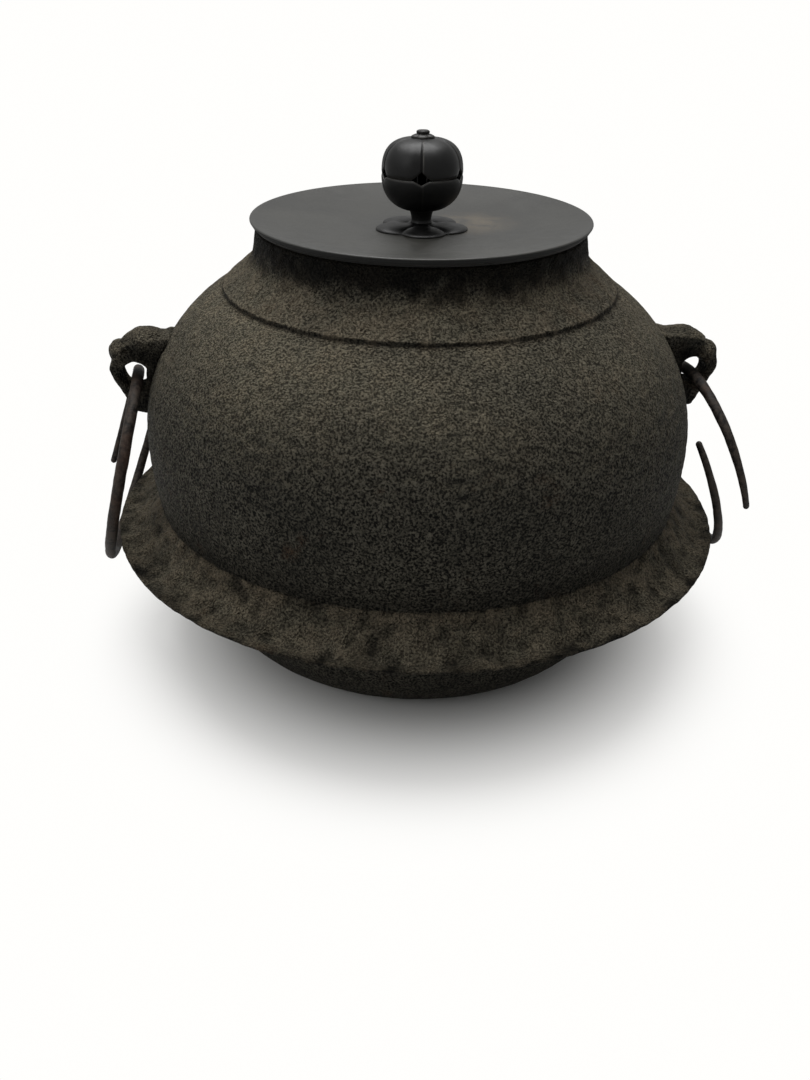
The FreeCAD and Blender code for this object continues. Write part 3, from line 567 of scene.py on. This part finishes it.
def lug(side, half_turn):
    """Cast lug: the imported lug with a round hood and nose, remeshed, flared into the drum and roughened."""
    node = nodes[f"lug_{side}"]
    made = bpy.data.objects.new(f"cast_lug_{side}", node.data.copy())
    bpy.context.scene.collection.objects.link(made)
    swollen = bmesh.new()
    swollen.from_mesh(made.data)
    for centre, radii in LUG_SWELLINGS[side]:
        place = Matrix.Rotation(half_turn, 4, "Z") @ Matrix.Translation(Vector(centre) * MM)
        bmesh.ops.create_uvsphere(
            swollen, u_segments=32, v_segments=16, radius=MM, matrix=place @ Matrix.Diagonal((*radii, 1.0)))
    swollen.to_mesh(made.data)
    swollen.free()
    remesh = made.modifiers.new("remesh", "REMESH")
    remesh.mode = "VOXEL"
    remesh.voxel_size = LUG_VOXEL * MM
    graph = bpy.context.evaluated_depsgraph_get()
    fine = bpy.data.meshes.new_from_object(made.evaluated_get(graph))
    made.modifiers.clear()
    made.data = fine
    shape = bmesh.new()
    shape.from_mesh(fine)
    for vert in shape.verts:
        out = math.hypot(vert.co.x, vert.co.y) / MM
        roof = LUG_ROOF[side] - 5.2 * smoothstep(118.0, 129.0, out) - 0.015 * (vert.co.y / MM) ** 2
        below = roof - vert.co.z / MM
        if below < 30.0:
            vert.co.z = (roof - ROOF_BLEND * math.log1p(math.exp(min(below / ROOF_BLEND, 40.0)))) * MM
    for _ in range(LUG_SMOOTHINGS):
        bmesh.ops.smooth_vert(
            shape, verts=shape.verts, factor=0.5, use_axis_x=True, use_axis_y=True, use_axis_z=True)
    shape.normal_update()
    points = np.array([vert.co for vert in shape.verts]) / MM
    normal = np.array([vert.normal for vert in shape.verts])
    level = points[:, 2]
    out = np.hypot(points[:, 0], points[:, 1])
    off_drum = out - drum_radius(level)
    lump = perlin(points, 6.5, 11.0)
    grain = perlin(points, 2.4, 12.0)
    pit = smoothstep(-0.45, 0.3, grain)
    push = 0.22 * lump - 0.20 * (1.0 - pit)
    flare = 1.3 * np.clip(1.0 - off_drum / 4.0, 0.0, 1.0) ** 2
    points += normal * (push + flare * (off_drum > 0.35))[:, None]
    radial = np.stack([points[:, 0], points[:, 1], np.zeros(len(points))], axis=1) / out[:, None]
    points -= radial * (1.6 * np.clip(1.0 - off_drum / 0.9, 0.0, 1.0))[:, None]
    for vert, point in zip(shape.verts, points * MM):
        vert.co = point
    shape.to_mesh(fine)
    shape.free()
    fine.polygons.foreach_set("use_smooth", [True] * len(fine.polygons))
    # Painted shade under the hood next to the drum, on a darker tone all over, with the lumps paler
    under = smoothstep(137.0, 131.0, level) * smoothstep(126.0, 116.0, out)
    set_attribute(made, "pit", np.clip(0.2 + 0.7 * pit, 0.0, 1.0))
    set_attribute(made, "bare_and_highlight", np.clip(0.12 + 0.5 * lump, 0.0, 1.0))
    set_attribute(made, "soot_and_shade", np.clip(0.30 + 0.6 * under - 0.5 * lump, 0.0, 1.0))
    dress(made, "kettle", [f"lug_{side}"], kettle_material)


# Rings

RING_RADIUS, RING_PITCH, LOWER_END = 41.5, 13.0, -214.0
ROD_RADIUS, TIP_RADIUS, TAPER_START = 2.65, 1.45, 95.0
RING_PIVOT = np.array((121.485, 0.0, 121.55))

# Twist, resting tilt and end of the upper arm of each ring, in degrees
RING_LIE = {"right": (3.8, 16.778, 195.0), "left": (2.3, 17.015, 207.0)}

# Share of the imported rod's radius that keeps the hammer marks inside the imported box
ROD_SHARE = 0.938


def ring_centre(side, turn):
    """Centre of a ring's rod on the right side at a turn in degrees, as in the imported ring."""
    twist, tilt = map(math.radians, RING_LIE[side][:2])
    outward = np.array((math.cos(tilt) * math.cos(twist), math.cos(tilt) * math.sin(twist), math.sin(tilt)))
    upward = np.array((-math.sin(tilt) * math.cos(twist), -math.sin(tilt) * math.sin(twist), math.cos(tilt)))
    sideways = np.array((math.sin(twist), -math.cos(twist), 0.0))
    angle = math.radians(turn)
    return (RING_PIVOT + upward * RING_RADIUS * (math.sin(angle) - 1.0)
            - sideways * RING_RADIUS * math.cos(angle) + outward * RING_PITCH * (turn - 90.0) / 360.0)


def rod_radius(side, turn):
    end = RING_LIE[side][2] if turn > 0 else -LOWER_END
    share = max(0.0, (abs(turn) - TAPER_START) / (end - TAPER_START))
    return ROD_RADIUS + share * (TIP_RADIUS - ROD_RADIUS)


def ring(side, half_turn):
    """Forged open ring: tapered rod with hammered flats and round tips."""
    steps, columns = 260, 22
    upper_end = RING_LIE[side][2]
    tip = math.degrees(TIP_RADIUS / RING_RADIUS)
    stations = [(LOWER_END - tip * math.sin(a), math.cos(a)) for a in np.linspace(0.5 * math.pi, 0.2, 5)]
    stations += [(LOWER_END + (upper_end - LOWER_END) * i / steps, 1.0) for i in range(steps + 1)]
    stations += [(upper_end + tip * math.sin(a), math.cos(a)) for a in np.linspace(0.2, 0.5 * math.pi, 5)]
    turned = Turned()
    spin = np.array(Matrix.Rotation(half_turn, 3, "Z"))
    for turn, share in stations:
        centre = ring_centre(side, turn)
        along = ring_centre(side, turn + 0.1) - ring_centre(side, turn - 0.1)
        along /= np.linalg.norm(along)
        across = centre - ring_centre(side, turn + 180.0)
        across -= along * across.dot(along)
        across /= np.linalg.norm(across)
        other = np.cross(along, across)
        if share < 0.05:
            turned.ring([tuple(spin @ centre)])
            continue
        angles = around(columns)
        unit = np.cos(angles)[:, None] * across + np.sin(angles)[:, None] * other
        flat = 0.035 * np.cos(2.0 * angles + 0.02 * turn)
        rough = 0.07 * perlin(centre + 6.0 * unit, 9.0, 21.0) + 0.04 * perlin(centre + 3.0 * unit, 2.6, 22.0)
        radius = rod_radius(side, turn) * share * (ROD_SHARE + flat + rough)
        turned.ring([tuple(spin @ point) for point in centre + unit * radius[:, None]])
    made = new_object(f"forged_ring_{side}", turned.verts, [face[::-1] for face in turned.faces])
    dress(made, f"{side}_ring", [f"ring_{side}"], ring_material)


# Lid


def turned_solid(name, path, columns, shape=None):
    """Closed or open turned mesh from a profile, with an optional change of its points by angle."""
    turned = Turned()
    turn = around(columns)
    for row, (radius, level) in enumerate(path):
        if radius < 1e-6:
            turned.ring([(0.0, 0.0, level)])
            continue
        radii, levels = np.full(columns, radius), np.full(columns, level)
        if shape:
            radii, levels = shape(turn, radii, levels, row)
        points = np.stack([np.cos(turn) * radii, np.sin(turn) * radii, levels], axis=1)
        turned.ring([tuple(point) for point in points])
    return new_object(name, turned.verts, turned.faces)


def dish(radius, base):
    """Height of the lid's dished face at a radius."""
    run = max(0.0, radius - LID_FLAT)
    bow = (LID_DISH ** 2 + DISH_RUN ** 2) / (2.0 * LID_DISH)
    return base + bow - math.sqrt(bow ** 2 - run ** 2)


def lid():
    """Dished lid with a rounded edge, undercut with a fine step in it, and a locating rim below."""
    rim_outside, rim_inside = MOUTH_RADIUS - 0.5, MOUTH_RADIUS - 2.9
    path = [(2.7, LID_UNDER)]
    path += [(r, dish(r, LID_UNDER)) for r in np.linspace(LID_FLAT, rim_inside, 14)]
    path += [(rim_inside, MOUTH_HEIGHT - 5.6), (rim_inside + 0.4, MOUTH_HEIGHT - 6.0)]
    path += [(rim_outside - 0.4, MOUTH_HEIGHT - 6.0), (rim_outside, MOUTH_HEIGHT - 5.6)]
    path += [(rim_outside, MOUTH_HEIGHT - 0.3), (rim_outside + 0.2, MOUTH_HEIGHT)]
    path += [(LID_RADIUS - 2.3, MOUTH_HEIGHT), (LID_RADIUS - 2.0, MOUTH_HEIGHT + 0.2)]
    path += [(LID_RADIUS - 1.7, MOUTH_HEIGHT + 0.9), (LID_RADIUS - 1.5, MOUTH_HEIGHT + 1.0)]
    path += [(LID_RADIUS - 1.15, MOUTH_HEIGHT + 1.05), (LID_RADIUS - 0.95, MOUTH_HEIGHT + 1.25)]
    for angle in np.linspace(-0.18 * math.pi, 0.5 * math.pi, 9):
        path.append((LID_RADIUS - 0.5 + 0.5 * math.cos(angle), LID_TOP - 0.5 + 0.5 * math.sin(angle)))
    path += [(LID_RADIUS - 1.0, LID_TOP - 0.02), (LID_RADIUS - 1.5, LID_TOP - 0.10)]
    path += [(r, dish(r, LID_CENTRE)) for r in np.linspace(LID_RADIUS - 2.4, LID_FLAT, 30)]
    path += [(r, LID_CENTRE) for r in (16.0, 10.0, 2.7)]
    path.append(path[0])
    made = turned_solid("lid_dished", path, 256)
    levels = np.array([vert.co.z for vert in made.data.vertices]) / MM
    radii = np.array([math.hypot(vert.co.x, vert.co.y) for vert in made.data.vertices]) / MM
    # The edge's wall is painted near-black as shade, and the thin line over its step less so as a painted
    # highlight
    edge = (levels < LID_TOP - 0.45) & (levels > MOUTH_HEIGHT - 0.1) & (radii > LID_RADIUS - 2.6)
    line_below = (levels > MOUTH_HEIGHT + 0.85) & (levels < MOUTH_HEIGHT + 1.1)
    set_attribute(made, "edge_shade", np.where(edge, np.where(line_below, 0.35, 1.0), 0.0))
    dress(made, "lid", ["lid_plate"], lid_bronze())


# Knob


def to_lobe(turn, front=FRONT):
    """Angle to the nearest of five lobes, one of which faces the front, in radians."""
    step = TURN / PETALS
    return (turn - front + 0.5 * step) % step - 0.5 * step


def shell(name, outer, inner, node):
    """Closed shell from rings of its outer face and then of its inner face."""
    turned = Turned()
    wear = []
    for points, worn in outer + inner:
        turned.ring([tuple(point) for point in points])
        wear.extend(worn)
    turned.join(turned.rings[-1], turned.rings[0])
    made = new_object(name, turned.verts, turned.faces)
    set_attribute(made, "edge_wear", wear)
    dress(made, "lid", [node], knob_material)


def bud_turns(columns):
    """Angles around the bud, closer together near the grooves between its petals."""
    step = TURN / PETALS
    share = 2.0 * (np.arange(columns // PETALS) + 0.5) / (columns // PETALS) - 1.0
    close = share * (0.3 + 0.7 * np.abs(share)) * 0.5 * step
    return np.concatenate([BUD_FRONT + step * petal + close for petal in range(PETALS)])


def bud_rows(turn, rows, inset, edge, pole, narrow, square, lobed):
    """Rings of half the bud from its seam's edge to a pole, as (points, wear) pairs."""
    gap = to_lobe(turn, BUD_FRONT)
    off = np.abs(gap) * BUD_RADIUS
    groove = np.exp(-(off / 0.42) ** 2)
    swell = np.cos(0.5 * math.pi * np.clip(np.abs(gap) / (TURN / PETALS / 2), 0.0, 1.0)) ** 6
    reach = pole - BUD_SEAM
    first = np.arcsin(np.clip((edge - BUD_SEAM) / reach, 0.0, 1.0) ** (square / 2.0))
    made = []
    for share in np.linspace(0.0, 1.0, rows):
        angle = first + (0.5 * math.pi - first) * share
        level = BUD_SEAM + reach * np.sin(angle) ** (2.0 / square)
        wide = np.clip(np.cos(angle), 0.0, 1.0) ** (2.0 / square)
        radius = narrow + (BUD_RADIUS - 0.05 - narrow) * wide - inset * wide
        level = level - inset * math.copysign(1.0, reach) * (1.0 - wide)
        sunk = lobed * (0.55 * groove + 0.55 * swell) * np.clip(wide * 1.6, 0.0, 1.0)
        radius = np.maximum(radius - sunk, BORE)
        lip = np.exp(-((level - edge) / 0.35) ** 2)
        radius = radius - 0.18 * lip * (inset == 0.0)
        points = np.stack([np.cos(turn) * radius, np.sin(turn) * radius, level], axis=1)
        ridge = lobed * np.exp(-((off - 0.75) / 0.25) ** 2) * (gap > 0) * 0.5
        made.append((points, np.clip((0.3 * lip + ridge) * (inset == 0.0), 0.0, 1.0)))
    return made


def bud():
    """Hollow plum bud: a notched lower cup and an upper shell of five petals with gaps at the seam."""
    turn = bud_turns(400)
    width = np.abs(to_lobe(turn, BUD_FRONT)) * BUD_RADIUS
    petal_edge = BUD_SEAM + 0.14 + 3.1 * np.clip(1.0 - width / 4.3, 0.0, 1.0) ** 1.2
    cup_edge = BUD_SEAM - 0.14 - 1.6 * np.clip(1.0 - width / 3.3, 0.0, 1.0)
    outer = bud_rows(turn, 44, 0.0, petal_edge, BUD_TOP, BORE, 2.75, 1.0)
    lining = bud_rows(turn, 18, 1.5, petal_edge, BUD_TOP, BORE, 2.75, 0.5)
    shell("bud_petals", outer, lining[::-1], "knob_upper_shell")
    outer = bud_rows(turn, 40, 0.0, cup_edge, BUD_FOOT, BORE, 2.35, 0.22)
    lining = bud_rows(turn, 18, 1.5, cup_edge, BUD_FOOT, BORE, 2.35, 0.1)
    shell("bud_cup", lining, outer[::-1], "knob_lower_cup")


def finial():
    """Flower button of two tiers, each with five scallops."""
    path = [(0.0, BUD_TOP + 1.38), (BORE, BUD_TOP + 1.38), (BORE, BUD_TOP)]
    path += [(BUTTON_RADIUS - 0.4, BUD_TOP - 0.55), (BUTTON_RADIUS, BUD_TOP - 0.2)]
    path += [(BUTTON_RADIUS, BUD_TOP + 0.45), (BUTTON_RADIUS - 0.3, BUD_TOP + 0.8)]
    path += [(BUTTON_RADIUS - 1.2, BUD_TOP + 1.15), (2.55, BUD_TOP + 1.3), (2.4, BUD_TOP + 1.55)]
    path += [(2.7, BUD_TOP + 1.8), (2.7, BUD_TOP + 2.35), (2.3, BUD_TOP + 2.7)]
    path += [(1.2, KNOB_TOP - 0.05), (0.0, KNOB_TOP)]

    def scallop(turn, radii, levels, row):
        lobe = np.abs(np.cos(0.5 * PETALS * (turn - BUD_FRONT)))
        depth = 0.20 if row < 8 else 0.16
        cut = 1.0 - depth * (1.0 - lobe ** 0.55) * (2 < row < 13)
        return radii * cut, levels

    made = turned_solid("flower_button", path, 160, scallop)
    wear = [0.25 if abs(vert.co.z / MM - BUD_TOP - 0.7) < 0.25 else 0.05 for vert in made.data.vertices]
    set_attribute(made, "edge_wear", wear)
    dress(made, "lid", ["knob_finial"], knob_material)


def stem():
    """Flared stem on the seat, its pin in the bud and its rivet under the lid."""
    washer = LID_UNDER - 1.2
    path = [(0.0, washer - 1.5), (2.4, washer - 1.5), (3.6, washer - 1.1), (4.2, washer - 0.5)]
    path += [(4.1, washer), (2.6, washer), (2.6, SEAT_TOP), (4.35, SEAT_TOP)]
    path += [(4.3, SEAT_TOP + 0.35), (4.05, SEAT_TOP + 0.75)]
    path += [(4.05, SEAT_TOP + 1.6), (4.25, SEAT_TOP + 2.8), (4.55, SEAT_TOP + 4.0), (4.85, SEAT_TOP + 4.8)]
    path += [(5.1, BUD_FOOT + 0.25), (2.0, BUD_FOOT + 0.25), (2.0, BUD_TOP + 1.35), (0.0, BUD_TOP + 1.35)]
    made = turned_solid("flared_stem", path, 96)
    set_attribute(made, "edge_wear", [0.0] * len(made.data.vertices))
    dress(made, "lid", ["knob_stem"], knob_material)


def seat():
    """Flower-shaped washer of five domed lobes with creases between them."""
    columns, lobe_radius, lobe_centre, bore = 300, 9.5, 9.8, 2.7
    turn = around(columns)
    off = to_lobe(turn)
    reach = lobe_centre * np.cos(off) + np.sqrt(lobe_radius ** 2 - (lobe_centre * np.sin(off)) ** 2)
    turned = Turned()
    wear = []

    def lay(radius, level, worn):
        points = np.stack([np.cos(turn) * radius, np.sin(turn) * radius, level], axis=1)
        turned.ring([tuple(point) for point in points])
        wear.extend(np.broadcast_to(worn, (columns,)))

    under = np.full(columns, LID_CENTRE)
    lay(np.full(columns, bore), under, 0.0)
    lay(reach - 0.15, under, 0.0)
    lay(reach, under + 0.3, 0.1)
    for share in np.linspace(1.0, 0.0, 34):
        radius = bore + (reach - 0.12 - bore) * share
        away = np.hypot(radius * np.cos(off) - lobe_centre, radius * np.sin(off))
        dome = np.sqrt(np.clip(1.0 - (away / (lobe_radius + 0.05)) ** 2, 0.0, 1.0))
        crease = np.exp(-((np.abs(off) - TURN / PETALS / 2) * radius / 1.1) ** 2)
        crease = crease * smoothstep(4.5, 7.0, radius)
        level = LID_CENTRE + 0.25 + 1.95 * dome ** 1.1 - 0.25 * crease
        hub = smoothstep(6.0, 4.3, radius)
        level = np.clip(level * (1.0 - hub) + SEAT_TOP * hub, LID_CENTRE + 0.12, SEAT_TOP)
        lay(radius, level, 0.0)
    turned.join(turned.rings[-1], turned.rings[0])
    made = new_object("flower_seat", turned.verts, turned.faces)
    set_attribute(made, "edge_wear", wear)
    dress(made, "lid", ["knob_seat"], knob_material)


# Stage

# Reach from the axis, in metres, over which the floor turns from shaded to plain white
SHADOW_REACH = (0.072, 0.172)

# Strength of the white surround as a light, and as a gloss mirrors it
WORLD_LEVEL, MIRRORED_LEVEL = 0.20, 0.48

# Lens, by its focal length in pixels of a frame of that height, and the camera's place in metres
FOCAL_PIXELS, FRAME_HEIGHT, SENSOR = 1051.0, 1080.0, 36.0
CAMERA_REACH, CAMERA_HEIGHT = 0.43906, 0.28507


def stage():
    """Pale floor that keeps the shadow and turns white further out, soft lights and a white surround."""
    bpy.ops.mesh.primitive_plane_add(size=40.0, location=(0.0, 0.0, -0.0002))
    floor = bpy.context.object
    floor.name = "floor"
    s = Shader("floor_pale")
    s.bsdf.inputs["Base Color"].default_value = (0.80, 0.80, 0.785, 1.0)
    s.bsdf.inputs["Roughness"].default_value = 0.7
    s.bsdf.inputs["Specular IOR Level"].default_value = 0.1
    rays = s.node("ShaderNodeLightPath")
    reach = s.node("ShaderNodeVectorMath", operation="LENGTH")
    s.tree.links.new(s.place, reach.inputs[0])
    white = s.node("ShaderNodeEmission")
    white.inputs["Color"].default_value = (1.0, 0.995, 0.98, 1.0)
    white.inputs["Strength"].default_value = 1.0
    both = s.node("ShaderNodeMixShader")
    share = s.math("MULTIPLY", s.span(reach.outputs["Value"], *SHADOW_REACH), rays.outputs["Is Camera Ray"])
    s.tree.links.new(share, both.inputs[0])
    s.tree.links.new(s.bsdf.outputs[0], both.inputs[1])
    s.tree.links.new(white.outputs[0], both.inputs[2])
    s.tree.links.new(both.outputs[0], s.tree.nodes["Material Output"].inputs["Surface"])
    floor.data.materials.append(s.material)
    world = bpy.data.worlds.new("studio")
    bpy.context.scene.world = world
    world.use_nodes = True
    tree = world.node_tree
    seen = tree.nodes.new("ShaderNodeLightPath")
    level = tree.nodes.new("ShaderNodeMapRange")
    tree.links.new(seen.outputs["Is Camera Ray"], level.inputs["Value"])
    mirrored = tree.nodes.new("ShaderNodeMapRange")
    tree.links.new(seen.outputs["Is Glossy Ray"], mirrored.inputs["Value"])
    mirrored.inputs["To Min"].default_value = WORLD_LEVEL
    mirrored.inputs["To Max"].default_value = MIRRORED_LEVEL
    tree.links.new(mirrored.outputs["Result"], level.inputs["To Min"])
    level.inputs["To Max"].default_value = 1.0
    back = tree.nodes["Background"]
    back.inputs["Color"].default_value = (1.0, 1.0, 0.99, 1.0)
    tree.links.new(level.outputs["Result"], back.inputs["Strength"])
    lamp("key", (-0.08, 0.30, 1.45), 1.4, 30.0)
    lamp("fill", (-1.0, -0.7, 0.9), 1.0, 3.4)


def lamp(name, place, size, watts):
    data = bpy.data.lights.new(name, "AREA")
    data.shape = "DISK"
    data.size = size
    data.energy = watts
    made = bpy.data.objects.new(name, data)
    bpy.context.scene.collection.objects.link(made)
    made.location = place
    made.rotation_euler = (Vector((0.0, 0.0, 0.1)) - Vector(place)).to_track_quat("-Z", "Y").to_euler()


def camera():
    """Camera at the photograph's place: 5 degrees to the left of the front and 29 degrees down."""
    turn, yaw, pitch, roll = map(math.radians, (5.0, -0.59, 29.467, 0.936))
    heading = yaw + turn
    ahead = math.cos(pitch)
    forward = Vector((math.sin(heading) * ahead, math.cos(heading) * ahead, -math.sin(pitch)))
    right = Vector((math.cos(heading), -math.sin(heading), 0.0))
    up = right.cross(forward)
    across = right * math.cos(roll) + up * math.sin(roll)
    above = up * math.cos(roll) - right * math.sin(roll)
    data = bpy.data.cameras.new("camera")
    data.sensor_fit = "VERTICAL"
    data.sensor_height = SENSOR
    data.lens = SENSOR * FOCAL_PIXELS / FRAME_HEIGHT
    data.clip_start = 0.01
    made = bpy.data.objects.new("camera", data)
    bpy.context.scene.collection.objects.link(made)
    view = Matrix((across, above, -forward)).transposed().to_4x4()
    spot = (-CAMERA_REACH * math.sin(turn), -CAMERA_REACH * math.cos(turn), CAMERA_HEIGHT)
    view.translation = Vector(spot)
    made.matrix_world = view
    bpy.context.scene.camera = made


kettle_material = kettle_iron()
ring_material = ring_iron()
knob_material = knob_bronze()
casting()
for side, half_turn in (("right", 0.0), ("left", math.pi)):
    lug(side, half_turn)
    ring(side, half_turn)
lid()
bud()
finial()
stem()
seat()
for name in ("knob_back_washer", "sounding_plates"):
    nodes[name].data.materials.clear()
    nodes[name].data.materials.append(knob_material if name.startswith("knob") else plate_iron())
stage()
camera()
bpy.context.scene.view_settings.view_transform = "Standard"
